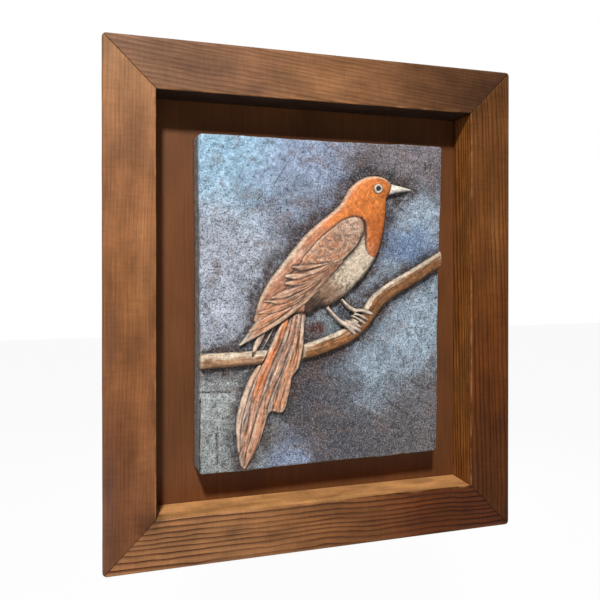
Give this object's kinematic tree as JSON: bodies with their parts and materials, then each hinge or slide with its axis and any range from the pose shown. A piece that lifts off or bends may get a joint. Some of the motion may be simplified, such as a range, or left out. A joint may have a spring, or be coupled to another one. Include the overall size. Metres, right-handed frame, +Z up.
{
  "type": "framed relief wall panel",
  "caption": "Wall panel: a cast relief tile of a bird on a branch, set on a board in a deep mitred wooden frame, made to hang flat against a wall.",
  "frame": {"origin": "middle of the panel's back face, where it lies against the wall", "axes": "+Y into the wall, +Z up, +X to the viewer's right; the carved face looks along -Y"},
  "size_m": [0.271, 0.0352, 0.316],
  "materials": {
    "stained_frame_wood": "stained and waxed softwood, worn at the inner edges",
    "board_wood": "stained thin board, satin",
    "painted_cast_tile": "cast and painted in blue grey, orange and cream with a dark wash, matt"
  },
  "bodies": {
    "root": {"frame_top_rail": "stained_frame_wood", "frame_bottom_rail": "stained_frame_wood", "frame_left_stile": "stained_frame_wood", "frame_right_stile": "stained_frame_wood", "back_board": "board_wood", "relief_tile": "painted_cast_tile"}
  },
  "joints": []
}
